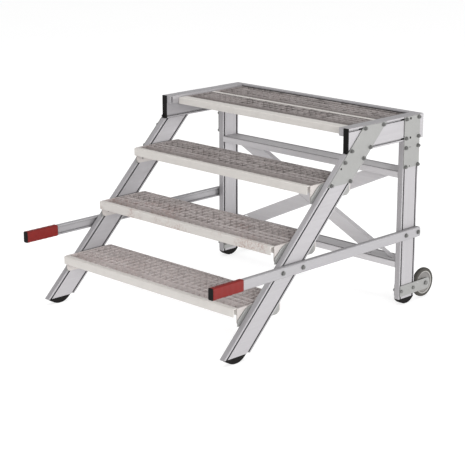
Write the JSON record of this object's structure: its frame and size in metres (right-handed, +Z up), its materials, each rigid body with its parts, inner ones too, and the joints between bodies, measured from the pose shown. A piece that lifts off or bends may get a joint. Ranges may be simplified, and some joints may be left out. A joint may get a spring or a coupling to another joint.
{
  "type": "mobile ladder stand",
  "caption": "Free-standing aluminium step stand with a slotted-profile frame, a low work platform, lifting handles with grips and wheels behind the rear legs.",
  "frame": {"origin": "on the floor, under the centre of the stand's bounding box", "axes": "+X to the right of someone climbing, +Y forwards from the flight of treads towards the wheels, +Z up; the treads face -Y"},
  "size_m": [1.107, 1.345, 0.8],
  "materials": {
    "aluminium": "mill-finish extruded profile, fine lengthwise die lines",
    "galvanised_plate": "flat zinc-plated plate, matt",
    "tread_sheet": "galvanised grating and its end plates, warm pale grey, matt",
    "black_plastic": "moulded, slightly textured",
    "black_rubber": "moulded rubber, matt",
    "red_plastic": "soft moulded grip, satin",
    "grey_tyre": "non-marking rubber tread",
    "grey_plastic": "moulded wheel centre",
    "steel_fastener": "zinc-plated"
  },
  "bodies": {
    "frame": {"stringer_right": "aluminium", "rear_leg_right": "aluminium", "platform_rail_right": "aluminium", "rail_end_cap_right": "black_plastic", "platform_ledge_right": "aluminium", "gusset_front_right": "galvanised_plate", "gusset_rear_right": "galvanised_plate", "foot_front_right": "black_rubber", "foot_rear_right": "black_rubber", "handle_bar_right": "aluminium", "handle_grip_right": "red_plastic", "grip_cap_right": "black_plastic", "wheel_plate_outer_right": "galvanised_plate", "wheel_plate_inner_right": "galvanised_plate", "wheel_plate_bolt_front_right": "steel_fastener", "wheel_plate_bolt_rear_right": "steel_fastener", "axle_bolt_right": "steel_fastener", "tread_1_end_plate_right": "tread_sheet", "tread_1_bracket_right": "galvanised_plate", "tread_2_end_plate_right": "tread_sheet", "tread_2_bracket_right": "galvanised_plate", "tread_3_end_plate_right": "tread_sheet", "tread_3_bracket_right": "galvanised_plate", "stringer_left": "aluminium", "rear_leg_left": "aluminium", "platform_rail_left": "aluminium", "rail_end_cap_left": "black_plastic", "platform_ledge_left": "aluminium", "gusset_front_left": "galvanised_plate", "gusset_rear_left": "galvanised_plate", "foot_front_left": "black_rubber", "foot_rear_left": "black_rubber", "handle_bar_left": "aluminium", "handle_grip_left": "red_plastic", "grip_cap_left": "black_plastic", "wheel_plate_outer_left": "galvanised_plate", "wheel_plate_inner_left": "galvanised_plate", "wheel_plate_bolt_front_left": "steel_fastener", "wheel_plate_bolt_rear_left": "steel_fastener", "axle_bolt_left": "steel_fastener", "tread_1_end_plate_left": "tread_sheet", "tread_1_bracket_left": "galvanised_plate", "tread_2_end_plate_left": "tread_sheet", "tread_2_bracket_left": "galvanised_plate", "tread_3_end_plate_left": "tread_sheet", "tread_3_bracket_left": "galvanised_plate", "tread_1": "tread_sheet", "tread_2": "tread_sheet", "tread_3": "tread_sheet", "platform_plank_front": "tread_sheet", "platform_plank_rear": "tread_sheet", "platform_rail_rear": "aluminium", "rear_beam_upper": "aluminium", "rear_beam_lower": "aluminium", "cross_brace_falling": "aluminium", "cross_brace_rising": "aluminium"},
    "wheel_right": {"wheel_tyre_right": "grey_tyre", "wheel_hub_right": "grey_plastic"},
    "wheel_left": {"wheel_tyre_left": "grey_tyre", "wheel_hub_left": "grey_plastic"}
  },
  "joints": [
    {"name": "wheel_spin_right", "type": "hinge", "parent": "frame", "child": "wheel_right", "pos_m": [0.5182, 0.61, 0.0635], "axis": [1, 0, 0], "continuous": true},
    {"name": "wheel_spin_left", "type": "hinge", "parent": "frame", "child": "wheel_left", "pos_m": [-0.5182, 0.61, 0.0635], "axis": [1, 0, 0], "continuous": true}
  ]
}
